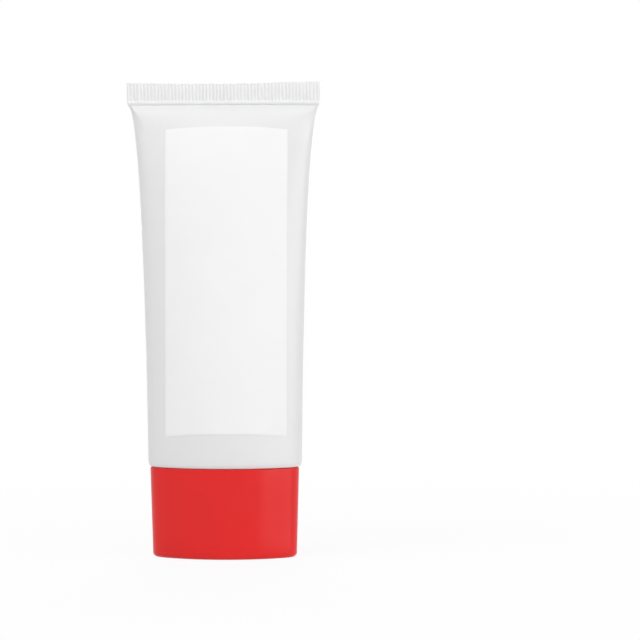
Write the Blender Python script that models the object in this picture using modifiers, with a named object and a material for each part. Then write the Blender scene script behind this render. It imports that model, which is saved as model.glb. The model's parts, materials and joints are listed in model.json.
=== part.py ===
"""Sunscreen tube that stands on its oval screw cap.

The soft sleeve is a loft. It starts as the cap's oval and keeps the girth of an
extruded tube while it is pressed flat into a ribbed seal at the top. The cap has two
walls: an oval shell, and an inner cap whose round socket takes the neck of the head.
Metres, +Z up. The origin is the middle of the cap's base, and the front faces -Y.
"""

import math

import bmesh
import bpy

# Sleeve: oval at the foot, flat at the seal
BASE_WIDTH = 0.0437
BASE_DEPTH = 0.0216
CROWN_SHARE = 0.45  # how far the sides bulge past the round ends, as a share of half the depth
SLEEVE_LENGTH = 0.1088
SLEEVE_WALL = 0.0005
FOOT_ROUND = 0.0008
LIP_WIDTH = 0.0008  # how far the foot turns in under the head's shoulder
LIP_HEIGHT = 0.0007

# The sleeve widens along its length by these shares of the whole spread
STEADY_SHARE = 0.133
CURVED_SHARE = 0.473
FLARE_SHARE = 0.241
FLARE_POWER = 9.4
CORNER_POWER = 57  # what is left flares out just under the seal

# Seal at the top
SEAL_WIDTH = 0.0547
SEAL_HEIGHT = 0.0063
SEAL_THICKNESS = 0.0011
SEAL_CROWN_SHARE = 0.08  # the sides flatten to this crown at the seal
CROWN_POWER = 8
SEAL_STRIP = 0.0015  # plain strip under the ribs
STRIP_STEP = 0.0001  # the plain strip lies inside the ribs' grooves by this much
RIB_PITCH = 0.00098
RIB_DEPTH = 0.00015

# Cap shell, a tapered oval box that is open at the top
CAP_HEIGHT = 0.0254
CAP_STEP = 0.00069  # the rim lies inside the sleeve's outline by this much
CAP_DRAFT = 0.0007  # the base lies inside the rim's outline by this much
CAP_ROUND = 0.0015
RIM_ROUND = 0.00025
SHELL_WALL = 0.0012
SHELL_FLOOR = 0.0014
SUPPORT_THICKNESS = 0.0010
SUPPORT_REACH = 0.0026  # how far a support rib stands in from the end wall
SUPPORT_SPACING = 0.0050

# Inner cap, a flange with a socket for the neck
FLANGE_RECESS = 0.0012
FLANGE_THICKNESS = 0.0012
SOCKET_WALL = 0.0009
SOCKET_FLOOR = 0.0010
THREAD_ROOM = 0.0010  # between the neck's core and the socket's wall, for the threads
MOUTH_FLARE = 0.0004
WEB_THICKNESS = 0.0012
WEB_HEIGHT = 0.0060
WEB_REACH = 0.0160

# Head: shoulder, skirt and neck
SHOULDER_THICKNESS = 0.0015
SKIRT_HEIGHT = 0.0040
SKIRT_WALL = 0.0010
NECK_LENGTH = 0.0105
NECK_RADIUS = 0.0055
NECK_BORE = 0.0038
NECK_COLLAR = 0.0006  # the thicker ring where the neck leaves the shoulder
TIP_WALL = 0.0012
TIP_CHAMFER = 0.0004
ORIFICE_RADIUS = 0.0022

DISC_THICKNESS = 0.0010

# Label on the front, measured up from the sleeve's foot
LABEL_WIDTH = 0.0342
LABEL_SHIFT = 0.0011  # how far it sits to the right of the middle
LABEL_LOW = 0.00925
LABEL_HIGH = 0.09515
LABEL_ARCH = 0.0009
LABEL_THICKNESS = 0.00012

# Lotion, measured up from the sleeve's foot
LOTION_LEVEL = 0.0900

# Clearances
FIT_GAP = 0.0003  # between pieces that touch
LABEL_GAP = 0.00015

# Points along a quarter of an oval, and around a turned piece
END_STEPS = 5
SIDE_STEPS = 7
TURN_STEPS = 36
LOFT_STEPS = 20
LABEL_COLUMNS = 10
LABEL_ROWS = 20

# Worked out from the sizes above
SHOULDER_Z = CAP_HEIGHT + FIT_GAP
SEAL_FOOT = SLEEVE_LENGTH - SEAL_HEIGHT
GROOVE_DEPTH = (SEAL_THICKNESS - RIB_DEPTH) / 2
RIDGE_DEPTH = (SEAL_THICKNESS + RIB_DEPTH) / 2
STRIP_DEPTH = GROOVE_DEPTH - STRIP_STEP
STRIP_WIDTH = SEAL_WIDTH - 2 * STRIP_STEP
NECK_TIP_Z = SHOULDER_Z - NECK_LENGTH
DISC_TOP_Z = NECK_TIP_Z - FIT_GAP
SOCKET_FLOOR_Z = DISC_TOP_Z - DISC_THICKNESS - FIT_GAP
SOCKET_RADIUS = NECK_RADIUS + THREAD_ROOM
FLANGE_TOP_Z = CAP_HEIGHT - FLANGE_RECESS
FLANGE_LOW_Z = FLANGE_TOP_Z - FLANGE_THICKNESS
SUPPORT_TOP_Z = FLANGE_LOW_Z - FIT_GAP


# Scene

def empty_scene():
    for obj in list(bpy.data.objects):
        bpy.data.objects.remove(obj, do_unlink=True)


def new_collection(name):
    collection = bpy.data.collections.new(name)
    bpy.context.scene.collection.children.link(collection)
    return collection


def plastic(name, color, roughness):
    material = bpy.data.materials.new(name)
    material.use_nodes = True
    shader = material.node_tree.nodes["Principled BSDF"]
    shader.inputs["Base Color"].default_value = (*color, 1.0)
    shader.inputs["Roughness"].default_value = roughness
    shader.inputs["Metallic"].default_value = 0.0
    material.diffuse_color = (*color, 1.0)
    return material


def add_object(name, mesh, collection):
    obj = bpy.data.objects.new(name, mesh)
    collection.objects.link(obj)
    return obj


def add_axis(name, height, parent, collection):
    """Add an empty on the tube's axis, which carries the pieces that move with it."""
    axis = bpy.data.objects.new(name, None)
    axis.empty_display_size = BASE_WIDTH / 2
    axis.location = (0.0, 0.0, height)
    axis.parent = parent
    collection.objects.link(axis)
    return axis


# Ovals: a quarter is a tight arc at the end and a wide arc along the side

def side_radius(half_width, half_depth, end_radius):
    reach = half_width - end_radius
    return (reach ** 2 + half_depth ** 2 - end_radius ** 2) / (2 * (half_depth - end_radius))


def side_angle(half_width, half_depth, end_radius):
    """Angle of the wide arc, from the depth axis to where the end's arc takes over."""
    wide = side_radius(half_width, half_depth, end_radius)
    return math.atan2(half_width - end_radius, wide - half_depth)


def oval_girth(half_width, half_depth, end_radius):
    wide = side_radius(half_width, half_depth, end_radius)
    turn = side_angle(half_width, half_depth, end_radius)
    return 4 * (wide * turn + end_radius * (math.pi / 2 - turn))


def oval_points(half_width, half_depth, end_radius):
    wide = side_radius(half_width, half_depth, end_radius)
    meet = math.pi / 2 - side_angle(half_width, half_depth, end_radius)
    quarter = []
    for step in range(END_STEPS):
        angle = meet * step / END_STEPS
        x = half_width - end_radius + end_radius * math.cos(angle)
        quarter.append((x, end_radius * math.sin(angle)))
    for step in range(SIDE_STEPS):
        angle = meet + (math.pi / 2 - meet) * step / SIDE_STEPS
        quarter.append((wide * math.cos(angle), half_depth - wide + wide * math.sin(angle)))
    back = quarter + [(0.0, half_depth)] + [(-x, y) for x, y in reversed(quarter)]
    return back + [(x, -y) for x, y in reversed(back[1:-1])]


def oval_depth(x, half_width, half_depth, end_radius):
    """Distance of the oval's side from its width axis, at the place x along that axis."""
    wide = side_radius(half_width, half_depth, end_radius)
    meet_x = wide * math.sin(side_angle(half_width, half_depth, end_radius))
    if abs(x) < meet_x:
        return half_depth - wide + math.sqrt(wide ** 2 - x ** 2)
    beyond = min(abs(x) - (half_width - end_radius), end_radius)
    return math.sqrt(end_radius ** 2 - beyond ** 2)


def inset(section, distance):
    """Section moved inward all round by distance."""
    return tuple(size - distance for size in section)


BASE_SECTION = (BASE_WIDTH / 2, BASE_DEPTH / 2, (1 - CROWN_SHARE) * BASE_DEPTH / 2)


def cap_section(height, distance=0.0):
    """Outline of the cap's shell at a height over its base, moved inward by distance."""
    taper = CAP_DRAFT * (1 - height / CAP_HEIGHT)
    return inset(BASE_SECTION, CAP_STEP + taper + distance)


def sleeve_section(height, distance=0.0):
    """Outline of the sleeve at a height over its foot, moved inward by distance.

    The width follows the sleeve's sides. The depth is what the girth leaves over: the
    girth goes from the oval's own to twice the seal's width.
    """
    along = min(height / SEAL_FOOT, 1.0)
    spread = STEADY_SHARE * along + CURVED_SHARE * along ** 2
    spread += FLARE_SHARE * along ** FLARE_POWER
    spread += (1 - STEADY_SHARE - CURVED_SHARE - FLARE_SHARE) * along ** CORNER_POWER
    half_width = (BASE_WIDTH + (STRIP_WIDTH - BASE_WIDTH) * spread) / 2
    end_share = 1 - CROWN_SHARE + (CROWN_SHARE - SEAL_CROWN_SHARE) * along ** CROWN_POWER
    base_girth = oval_girth(*BASE_SECTION)
    girth = base_girth + (2 * STRIP_WIDTH - base_girth) * along ** 2
    thin = STRIP_DEPTH
    thick = half_width
    while thick - thin > 1e-6:
        middle = (thin + thick) / 2
        if oval_girth(half_width, middle, end_share * middle) < girth:
            thin = middle
        else:
            thick = middle
    return inset((half_width, thin, end_share * thin), distance)


# Solids

def loft(name, sections, collection):
    """Close a skin over oval sections, given as (height, section) from bottom to top."""
    shape = bmesh.new()
    rings = []
    for height, section in sections:
        rings.append([shape.verts.new((x, y, height)) for x, y in oval_points(*section)])
    count = len(rings[0])
    for low, high in zip(rings, rings[1:]):
        for i in range(count):
            j = (i + 1) % count
            shape.faces.new((low[i], low[j], high[j], high[i]))
    shape.faces.new(list(reversed(rings[0])))
    shape.faces.new(rings[-1])
    mesh = bpy.data.meshes.new(name)
    shape.to_mesh(mesh)
    shape.free()
    return add_object(name, mesh, collection)


def plate(name, outline, low, high, collection):
    """Extrude a flat outline between two heights, as a filled curve made into a mesh."""
    curve = bpy.data.curves.new(name, "CURVE")
    curve.dimensions = "2D"
    curve.fill_mode = "BOTH"
    curve.extrude = (high - low) / 2
    spline = curve.splines.new("POLY")
    spline.points.add(len(outline) - 1)
    for point, (x, y) in zip(spline.points, outline):
        point.co = (x, y, 0.0, 1.0)
    spline.use_cyclic_u = True
    source = add_object(name + "_outline", curve, collection)
    source.location.z = (high + low) / 2
    depsgraph = bpy.context.evaluated_depsgraph_get()
    mesh = bpy.data.meshes.new_from_object(source.evaluated_get(depsgraph))
    mesh.name = name
    weld_and_shift(mesh, (high + low) / 2)
    bpy.data.objects.remove(source, do_unlink=True)
    return add_object(name, mesh, collection)


def weld_and_shift(mesh, height):
    """Join the curve's loose caps to its sides, as one flat face each, and raise it."""
    shape = bmesh.new()
    shape.from_mesh(mesh)
    bmesh.ops.remove_doubles(shape, verts=shape.verts, dist=1e-6)
    bmesh.ops.dissolve_limit(
        shape, angle_limit=math.radians(0.1), verts=shape.verts, edges=shape.edges,
    )
    bmesh.ops.translate(shape, verts=shape.verts, vec=(0.0, 0.0, height))
    bmesh.ops.recalc_face_normals(shape, faces=shape.faces)
    shape.to_mesh(mesh)
    shape.free()


def turned(name, profile, collection):
    """Turn a profile of (radius, height) about the axis, from its top point to its lowest."""
    mesh = bpy.data.meshes.new(name)
    edges = [(i, i + 1) for i in range(len(profile) - 1)]
    mesh.from_pydata([(radius, 0.0, height) for radius, height in profile], edges, [])
    obj = add_object(name, mesh, collection)
    screw = obj.modifiers.new("turn", "SCREW")
    screw.axis = "Z"
    screw.steps = TURN_STEPS
    screw.render_steps = TURN_STEPS
    screw.use_merge_vertices = True
    screw.merge_threshold = 1e-6
    return obj


def box(name, low, high, collection):
    """Add a cube primitive, sized and placed between two corners."""
    shape = bmesh.new()
    bmesh.ops.create_cube(shape, size=1.0)
    size = [b - a for a, b in zip(low, high)]
    middle = [(a + b) / 2 for a, b in zip(low, high)]
    bmesh.ops.scale(shape, verts=shape.verts, vec=size)
    bmesh.ops.translate(shape, verts=shape.verts, vec=middle)
    mesh = bpy.data.meshes.new(name)
    shape.to_mesh(mesh)
    shape.free()
    return add_object(name, mesh, collection)


def combine(obj, tool, operation):
    modifier = obj.modifiers.new(operation.lower(), "BOOLEAN")
    modifier.operation = operation
    modifier.solver = "EXACT"
    modifier.object = tool
    tool.hide_render = True
    tool.display_type = "WIRE"


def round_levels(obj, radii, segments):
    """Round the edges that lie flat at some heights, given as {height: radius}."""
    widest = max(radii.values())
    weights = obj.data.attributes.new("bevel_weight_edge", "FLOAT", "EDGE")
    for edge in obj.data.edges:
        ends = [obj.data.vertices[i].co.z for i in edge.vertices]
        for height, radius in radii.items():
            if max(abs(z - height) for z in ends) < 1e-6:
                weights.data[edge.index].value = radius / widest
    bevel = obj.modifiers.new("round", "BEVEL")
    bevel.limit_method = "WEIGHT"
    bevel.width = widest
    bevel.segments = segments


def attach(obj, parent):
    """Hang a piece and the tools of its Booleans on the same axis."""
    obj.parent = parent
    for modifier in obj.modifiers:
        if modifier.type == "BOOLEAN":
            attach(modifier.object, parent)


def finish(obj, parent, material):
    attach(obj, parent)
    obj.data.materials.clear()
    obj.data.materials.append(material)
    obj.data.shade_smooth()
    obj.data.set_sharp_from_angle(angle=math.radians(35))


# Tube pieces, with heights measured up from the sleeve's foot

def loft_heights(first, last):
    """Heights that crowd together towards the seal, where the shape changes fastest."""
    steps = [1 - (1 - i / LOFT_STEPS) ** 2 for i in range(LOFT_STEPS + 1)]
    return [first + (last - first) * step for step in steps]


def rounded_foot(radius, steps):
    """(height, inset) pairs of a quarter round, from the bottom up."""
    pairs = []
    for step in range(steps):
        angle = math.pi / 2 * step / steps
        pairs.append((radius * (1 - math.cos(angle)), radius * (1 - math.sin(angle))))
    return pairs


def make_rib_band(cutters):
    """Extrude the ribbed band upward from a strip with grooves and ridges on both sides."""
    ribs = round(SEAL_WIDTH / RIB_PITCH)
    foot = SEAL_FOOT + SEAL_STRIP
    shape = bmesh.new()
    pairs = []
    for step in range(2 * ribs + 1):
        x = SEAL_WIDTH * (step / (2 * ribs) - 0.5)
        depth = RIDGE_DEPTH if step % 2 else GROOVE_DEPTH
        pairs.append([shape.verts.new((x, y, foot)) for y in (-depth, depth)])
    for (front, back), (next_front, next_back) in zip(pairs, pairs[1:]):
        shape.faces.new((front, back, next_back, next_front))
    raised = bmesh.ops.extrude_face_region(shape, geom=list(shape.faces))["geom"]
    top = [item for item in raised if isinstance(item, bmesh.types.BMVert)]
    bmesh.ops.translate(shape, verts=top, vec=(0.0, 0.0, SLEEVE_LENGTH - foot))
    bmesh.ops.recalc_face_normals(shape, faces=shape.faces)
    mesh = bpy.data.meshes.new("seal_ribs")
    shape.to_mesh(mesh)
    shape.free()
    return add_object("seal_ribs", mesh, cutters)


def make_sleeve(parts, cutters):
    outer = [(z, inset(BASE_SECTION, d)) for z, d in rounded_foot(FOOT_ROUND, 4)]
    outer += [(z, sleeve_section(z)) for z in loft_heights(FOOT_ROUND, SEAL_FOOT)]
    outer.append((SEAL_FOOT + 2 * SEAL_STRIP, sleeve_section(SEAL_FOOT)))
    sleeve = loft("tube_sleeve", outer, parts)
    combine(sleeve, make_rib_band(cutters), "UNION")
    lip = SLEEVE_WALL + LIP_WIDTH
    wall_foot = LIP_HEIGHT + LIP_WIDTH
    inner = [
        (-LIP_HEIGHT, inset(BASE_SECTION, lip)),
        (LIP_HEIGHT, inset(BASE_SECTION, lip)),
    ]
    for z in loft_heights(wall_foot, SEAL_FOOT):
        section = sleeve_section(z, SLEEVE_WALL)
        if section[1] > SLEEVE_WALL:
            inner.append((z, section))
    combine(sleeve, loft("sleeve_inside", inner, cutters), "DIFFERENCE")
    return sleeve


def make_head(parts, cutters):
    skirt = SLEEVE_WALL + FIT_GAP
    foot = skirt + LIP_WIDTH
    slope_low = LIP_HEIGHT + FIT_GAP
    slope_high = slope_low + LIP_WIDTH
    top = SHOULDER_THICKNESS + SKIRT_HEIGHT
    head = loft("tube_head", [
        (0.0, inset(BASE_SECTION, foot)),
        (slope_low, inset(BASE_SECTION, foot)),
        (slope_high, sleeve_section(slope_high, skirt)),
        (top, sleeve_section(top, skirt)),
    ], parts)
    tray = loft("head_inside", [
        (SHOULDER_THICKNESS, inset(BASE_SECTION, foot + SKIRT_WALL)),
        (slope_high + SKIRT_WALL, sleeve_section(slope_high, skirt + SKIRT_WALL)),
        (top, sleeve_section(top, skirt + SKIRT_WALL)),
        (2 * top, sleeve_section(top, skirt + SKIRT_WALL)),
    ], cutters)
    combine(head, tray, "DIFFERENCE")
    collar = NECK_RADIUS + NECK_COLLAR
    neck = turned("neck", [
        (0.0, SHOULDER_THICKNESS / 2),
        (collar, SHOULDER_THICKNESS / 2),
        (collar, -NECK_COLLAR),
        (NECK_RADIUS, -2 * NECK_COLLAR),
        (NECK_RADIUS, TIP_CHAMFER - NECK_LENGTH),
        (NECK_RADIUS - TIP_CHAMFER, -NECK_LENGTH),
        (0.0, -NECK_LENGTH),
    ], cutters)
    combine(head, neck, "UNION")
    bore = turned("neck_inside", [
        (0.0, 2 * SHOULDER_THICKNESS),
        (NECK_BORE, 2 * SHOULDER_THICKNESS),
        (NECK_BORE, TIP_WALL - NECK_LENGTH),
        (ORIFICE_RADIUS, TIP_WALL - NECK_LENGTH),
        (ORIFICE_RADIUS, -NECK_LENGTH - TIP_WALL),
        (0.0, -NECK_LENGTH - TIP_WALL),
    ], cutters)
    combine(head, bore, "DIFFERENCE")
    return head


def make_label(parts):
    """Lay a grid on the sleeve's front and give it thickness outward."""
    shape = bmesh.new()
    rows = []
    for row in range(LABEL_ROWS + 1):
        verts = []
        for column in range(LABEL_COLUMNS + 1):
            across = 2 * column / LABEL_COLUMNS - 1
            arch = LABEL_ARCH * (1 - across ** 2)
            height = LABEL_LOW + (LABEL_HIGH - LABEL_LOW) * row / LABEL_ROWS + arch
            x = LABEL_SHIFT + across * LABEL_WIDTH / 2
            front = oval_depth(x, *sleeve_section(height, -LABEL_GAP))
            verts.append(shape.verts.new((x, -front, height)))
        rows.append(verts)
    for low, high in zip(rows, rows[1:]):
        for i in range(LABEL_COLUMNS):
            shape.faces.new((low[i], low[i + 1], high[i + 1], high[i]))
    mesh = bpy.data.meshes.new("front_label")
    shape.to_mesh(mesh)
    shape.free()
    label = add_object("front_label", mesh, parts)
    solidify = label.modifiers.new("thickness", "SOLIDIFY")
    solidify.thickness = LABEL_THICKNESS
    solidify.offset = 1.0
    return label


def make_lotion(parts):
    skirt_side = SLEEVE_WALL + 2 * FIT_GAP + SKIRT_WALL
    skirt_top = SHOULDER_THICKNESS + SKIRT_HEIGHT
    sections = [
        (SHOULDER_THICKNESS + FIT_GAP, inset(BASE_SECTION, skirt_side + LIP_WIDTH)),
        (LIP_HEIGHT + 2 * SKIRT_WALL + LIP_WIDTH, inset(BASE_SECTION, skirt_side)),
        (skirt_top + FIT_GAP, sleeve_section(skirt_top, skirt_side)),
    ]
    side = SLEEVE_WALL + FIT_GAP
    for z in loft_heights(skirt_top + SKIRT_WALL + FIT_GAP, SEAL_FOOT):
        if z < LOTION_LEVEL:
            sections.append((z, sleeve_section(z, side)))
    sections.append((LOTION_LEVEL, sleeve_section(LOTION_LEVEL, side)))
    return loft("lotion_fill", sections, parts)


# Cap pieces, with heights measured up from the cap's base

def make_cap_shell(parts, cutters):
    shell = loft("cap_shell", [
        (0.0, cap_section(0.0)),
        (CAP_HEIGHT, cap_section(CAP_HEIGHT)),
    ], parts)
    round_levels(shell, {0.0: CAP_ROUND, CAP_HEIGHT: RIM_ROUND}, 5)
    inside = loft("shell_inside", [
        (SHELL_FLOOR, cap_section(SHELL_FLOOR, SHELL_WALL)),
        (2 * CAP_HEIGHT, cap_section(2 * CAP_HEIGHT, SHELL_WALL)),
    ], cutters)
    rib_end = cap_section(SHELL_FLOOR, SHELL_WALL)[0] - SUPPORT_REACH
    for side in (-1, 1):
        ends = sorted((side * rib_end, side * BASE_WIDTH))
        for row in (-1, 1):
            y = row * SUPPORT_SPACING / 2
            low = (ends[0], y - SUPPORT_THICKNESS / 2, 0.0)
            high = (ends[1], y + SUPPORT_THICKNESS / 2, SUPPORT_TOP_Z)
            # The cavity is slotted first, so each rib joins the wall's whole height
            combine(inside, box("support_rib", low, high, cutters), "DIFFERENCE")
    combine(shell, inside, "DIFFERENCE")
    return shell


def make_cap_inner(parts, cutters):
    outline = oval_points(*cap_section(FLANGE_LOW_Z, SHELL_WALL + FIT_GAP))
    inner = plate("cap_inner", outline, FLANGE_LOW_Z, FLANGE_TOP_Z, parts)
    cup_radius = SOCKET_RADIUS + SOCKET_WALL
    cup_top = (FLANGE_LOW_Z + FLANGE_TOP_Z) / 2
    cup_low = SOCKET_FLOOR_Z - SOCKET_FLOOR
    cup = turned("socket_cup", [
        (0.0, cup_top),
        (cup_radius, cup_top),
        (cup_radius, cup_low),
        (0.0, cup_low),
    ], cutters)
    combine(inner, cup, "UNION")
    web_low = FLANGE_LOW_Z - WEB_HEIGHT
    for side in (-1, 1):
        ends = sorted((side * (SOCKET_RADIUS + SOCKET_WALL / 2), side * WEB_REACH))
        low = (ends[0], -WEB_THICKNESS / 2, web_low)
        high = (ends[1], WEB_THICKNESS / 2, cup_top)
        combine(inner, box("web", low, high, cutters), "UNION")
    mouth = SOCKET_RADIUS + MOUTH_FLARE
    socket = turned("socket_inside", [
        (0.0, CAP_HEIGHT),
        (mouth, CAP_HEIGHT),
        (mouth, FLANGE_TOP_Z - MOUTH_FLARE),
        (SOCKET_RADIUS, FLANGE_TOP_Z - 2 * MOUTH_FLARE),
        (SOCKET_RADIUS, SOCKET_FLOOR_Z),
        (0.0, SOCKET_FLOOR_Z),
    ], cutters)
    combine(inner, socket, "DIFFERENCE")
    return inner


def make_sealing_disc(parts):
    shape = bmesh.new()
    radius = SOCKET_RADIUS - FIT_GAP
    bmesh.ops.create_cone(
        shape, cap_ends=True, segments=TURN_STEPS,
        radius1=radius, radius2=radius, depth=DISC_THICKNESS,
    )
    mesh = bpy.data.meshes.new("sealing_disc")
    shape.to_mesh(mesh)
    shape.free()
    return add_object("sealing_disc", mesh, parts)


def main():
    empty_scene()
    parts = new_collection("sunscreen_tube")
    cutters = new_collection("cutters")
    white = plastic("sleeve_white", (0.83, 0.83, 0.84), 0.32)
    head_white = plastic("head_white", (0.85, 0.85, 0.85), 0.4)
    paper = plastic("label_white", (0.91, 0.91, 0.91), 0.45)
    lotion = plastic("lotion_cream", (0.90, 0.86, 0.78), 0.5)
    red = plastic("cap_red", (0.73, 0.033, 0.033), 0.35)
    inner_red = plastic("inner_red", (0.66, 0.03, 0.03), 0.45)
    wad = plastic("wad_white", (0.80, 0.80, 0.78), 0.6)

    cap = add_axis("cap_base", 0.0, None, parts)
    turn = add_axis("turn_axis", SOCKET_FLOOR_Z, cap, parts)
    rise = add_axis("rise_axis", SHOULDER_Z - SOCKET_FLOOR_Z, turn, parts)

    finish(make_cap_shell(parts, cutters), cap, red)
    finish(make_cap_inner(parts, cutters), cap, inner_red)
    disc = make_sealing_disc(parts)
    disc.location = (0.0, 0.0, FIT_GAP + DISC_THICKNESS / 2)
    finish(disc, turn, wad)
    finish(make_sleeve(parts, cutters), rise, white)
    finish(make_head(parts, cutters), rise, head_white)
    finish(make_label(parts), rise, paper)
    finish(make_lotion(parts), rise, lotion)


main()
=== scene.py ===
"""Looks of a squeeze tube that stands on its oval screw cap.

The file is laid out as an add-on and is run as a script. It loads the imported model,
remakes each piece as a finer mesh with its own plastic, and sets up a pale floor, soft
lamps and a camera. Meters, +Z up, and the label faces -Y.
"""

import json
import math

import bmesh
import bpy
from bpy.props import FloatProperty, FloatVectorProperty, IntProperty, PointerProperty
from mathutils import Matrix, Vector, noise

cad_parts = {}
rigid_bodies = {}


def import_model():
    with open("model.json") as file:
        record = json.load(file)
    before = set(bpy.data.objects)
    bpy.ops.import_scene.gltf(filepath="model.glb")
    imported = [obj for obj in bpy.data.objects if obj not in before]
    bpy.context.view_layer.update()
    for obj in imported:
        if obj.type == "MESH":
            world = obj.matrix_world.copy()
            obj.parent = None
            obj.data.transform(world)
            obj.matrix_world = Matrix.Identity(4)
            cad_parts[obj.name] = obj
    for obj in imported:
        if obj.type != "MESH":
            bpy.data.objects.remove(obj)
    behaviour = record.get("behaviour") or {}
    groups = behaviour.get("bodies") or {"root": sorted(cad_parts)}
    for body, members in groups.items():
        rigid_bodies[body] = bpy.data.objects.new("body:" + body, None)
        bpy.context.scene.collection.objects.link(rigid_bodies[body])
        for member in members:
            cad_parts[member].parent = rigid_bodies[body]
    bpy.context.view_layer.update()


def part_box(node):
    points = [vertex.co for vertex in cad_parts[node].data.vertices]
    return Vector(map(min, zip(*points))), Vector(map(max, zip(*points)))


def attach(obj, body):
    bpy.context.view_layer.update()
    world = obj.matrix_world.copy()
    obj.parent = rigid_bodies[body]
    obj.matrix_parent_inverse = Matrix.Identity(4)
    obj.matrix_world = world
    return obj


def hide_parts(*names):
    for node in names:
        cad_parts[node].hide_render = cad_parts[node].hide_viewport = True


bl_info = {
    "name": "Squeeze Tube Looks",
    "version": (1, 0, 0),
    "blender": (4, 5, 0),
    "location": "3D View > Sidebar > Squeeze Tube",
    "description": "Fine meshes and plastics for a squeeze tube, with a studio floor and lamps",
    "category": "Object",
}

for left_over in list(bpy.data.objects):
    bpy.data.objects.remove(left_over, do_unlink=True)

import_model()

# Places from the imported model
sleeve_low, sleeve_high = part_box("tube_sleeve")
head_low, head_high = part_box("tube_head")
cap_low, cap_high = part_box("cap_shell")
socket_low, socket_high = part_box("cap_inner")
wad_low, wad_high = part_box("sealing_disc")
lotion_low, lotion_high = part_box("lotion_fill")

FOOT_Z = sleeve_low.z
SLEEVE_LENGTH = sleeve_high.z - sleeve_low.z
SEAL_WIDTH = sleeve_high.x - sleeve_low.x
OVAL_DEPTH = sleeve_high.y - sleeve_low.y
CAP_HEIGHT = cap_high.z - cap_low.z

# The sleeve widens along its length by these shares of the whole spread
STEADY_SHARE = 0.133
CURVED_SHARE = 0.473
FLARE_SHARE = 0.226
FLARE_POWER = 9.4
CORNER_POWER = 80
END_POWER = 8

# Ribs of the seal: points along one rib, from 0 to 1, and how high each one stands
RIB_STATIONS = ((0.0, 0.0), (0.17, 0.12), (0.33, 0.85), (0.5, 1.0), (0.67, 0.85), (0.83, 0.12))

# Seal from its foot up: height as a share of its parts, shares of thickness, ribs and step
STRIP_PROFILE = (
    (0.0, 0.72, 0.0, 1.0), (0.10, 0.80, 0.0, 0.95), (0.22, 1.46, 0.0, 0.8),
    (0.34, 1.82, 0.0, 0.6), (0.50, 1.94, 0.0, 0.4), (0.64, 1.87, 0.1, 0.25),
    (0.82, 1.54, 0.3, 0.1), (0.97, 1.17, 0.6, 0.0),
)
RIB_PROFILE = (
    (0.02, 1.1, 0.8, 0.0), (0.06, 1.0, 1.0, 0.0), (0.5, 1.0, 1.0, 0.0), (0.94, 1.0, 1.0, 0.0),
    (0.97, 1.0, 0.6, 0.0), (0.99, 0.92, 0.2, 0.0), (1.0, 0.72, 0.0, 0.0),
)

# Corner facets below the seal: how much of the corner they cut, and how that fades
FACET_CUT = 0.65
FACET_START = 1.4
FACET_FALL = 1.15
FACET_SOFT = 0.2  # how softly a facet meets the side, as a share of half the depth
FOLD_THICKNESS = 0.27  # of a fold, as a share of the seal's thickness
FOLD_START = 0.8

# Soft dents in the sleeve
DENT_WIDTH = 0.022
DENT_HEIGHT = 0.034
DENT_FADE = 0.020  # how far from foot and seal they start
DENT_EDGE = 0.003  # how far from the side edges they have their whole depth

FIT_GAP = 0.0003  # between parts that fit into each other
FLAT_INSET = 0.0002  # the sleeve ends narrower than the seal by this much
LEAN_REACH = 0.0025  # how far below the seal the lean starts
LIP_HEIGHT = 0.0007
SHIFT_REACH = 0.020  # how far below the seal its bow and tilt fade out
OVAL_SOFTNESS = 0.4  # how far the ovals that are averaged differ at their ends
DEPTH_ERROR = 1e-7
ROUND_STEPS = 6
RING_COUNT = 144
EVEN_STATIONS = [2 * i / RING_COUNT for i in range(RING_COUNT // 2 + 1)]
RING_TURNS = [math.pi + 2 * math.pi * step / RING_COUNT for step in range(RING_COUNT)]
SLEEVE_LEVELS = 60
THREAD_STEP = 0.00012  # between the rings of a threaded wall
THREAD_ROOT = 0.25  # half width of the thread at its root, as a share of the pitch
THREAD_CREST = 0.10
NECK_LEADS = (0.0016, 0.0010)  # of plain wall below and above the neck's thread
SOCKET_LEADS = (0.0018, 0.0012)
TIP_CHAMFER = 0.0004
BLOCK_ROUND = 0.00015  # along the edges of ribs and webs


# Settings that a user would change

def length(name, default, description):
    """A length in meters."""
    return FloatProperty(name=name, description=description, default=default, unit="LENGTH")


def fraction(name, default, description, low=0.0, high=1.0):
    return FloatProperty(
        name=name, description=description, default=default, subtype="FACTOR", min=low, max=high,
    )


def paint(name, default, description):
    return FloatVectorProperty(
        name=name, description=description, default=default, subtype="COLOR", min=0.0, max=1.0,
    )


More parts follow.
